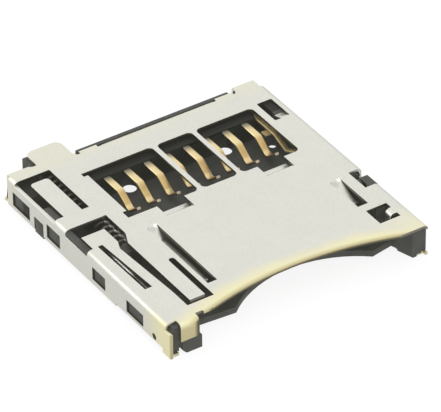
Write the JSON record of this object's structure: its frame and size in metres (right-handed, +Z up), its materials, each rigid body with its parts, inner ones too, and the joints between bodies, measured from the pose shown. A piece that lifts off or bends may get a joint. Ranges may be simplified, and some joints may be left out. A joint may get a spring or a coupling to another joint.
{
  "type": "memory card socket",
  "caption": "Low surface-mount card socket with a stamped metal cover, black moulding, gold contact springs and a spring-loaded push-push slider.",
  "frame": {"origin": "on the board plane, in the middle of the cover's width, level with the middle of the cover's side walls", "axes": "+X to the right seen from the card slot, +Y in the direction of insertion, +Z up from the board to the cover"},
  "size_m": [0.0142, 0.0151, 0.0017],
  "materials": {
    "cover_metal": "satin nickel",
    "housing_plastic": "matte moulded",
    "slider_plastic": "matte moulded",
    "spring_steel": "drawn wire",
    "contact_gold": "gold plated"
  },
  "bodies": {
    "socket": {"cover": "cover_metal", "housing": "housing_plastic", "spring": "spring_steel", "contact_1": "contact_gold", "contact_2": "contact_gold", "contact_3": "contact_gold", "contact_4": "contact_gold", "contact_5": "contact_gold", "contact_6": "contact_gold", "contact_7": "contact_gold", "contact_8": "contact_gold", "detect_arm": "contact_gold", "detect_blade": "contact_gold"},
    "slider": {"slider": "slider_plastic"},
    "cam_pin": {"cam_pin": "spring_steel"}
  },
  "joints": [
    {"name": "slider_push", "type": "slide", "parent": "socket", "child": "slider", "axis": [0, 1, 0], "range_m": [0, 0.0039], "stiffness_N_per_m": 60, "springref_m": -0.004, "deforming": ["spring"]},
    {"name": "cam_pin_swing", "type": "hinge", "parent": "socket", "child": "cam_pin", "pos_m": [-0.00602, -0.005, 0], "axis": [0, 0, 1], "range_deg": [0, 3.3]}
  ],
  "couplings": [
    {"joint": "cam_pin_swing", "follows": "slider_push", "rad_per_m": 14.5}
  ]
}
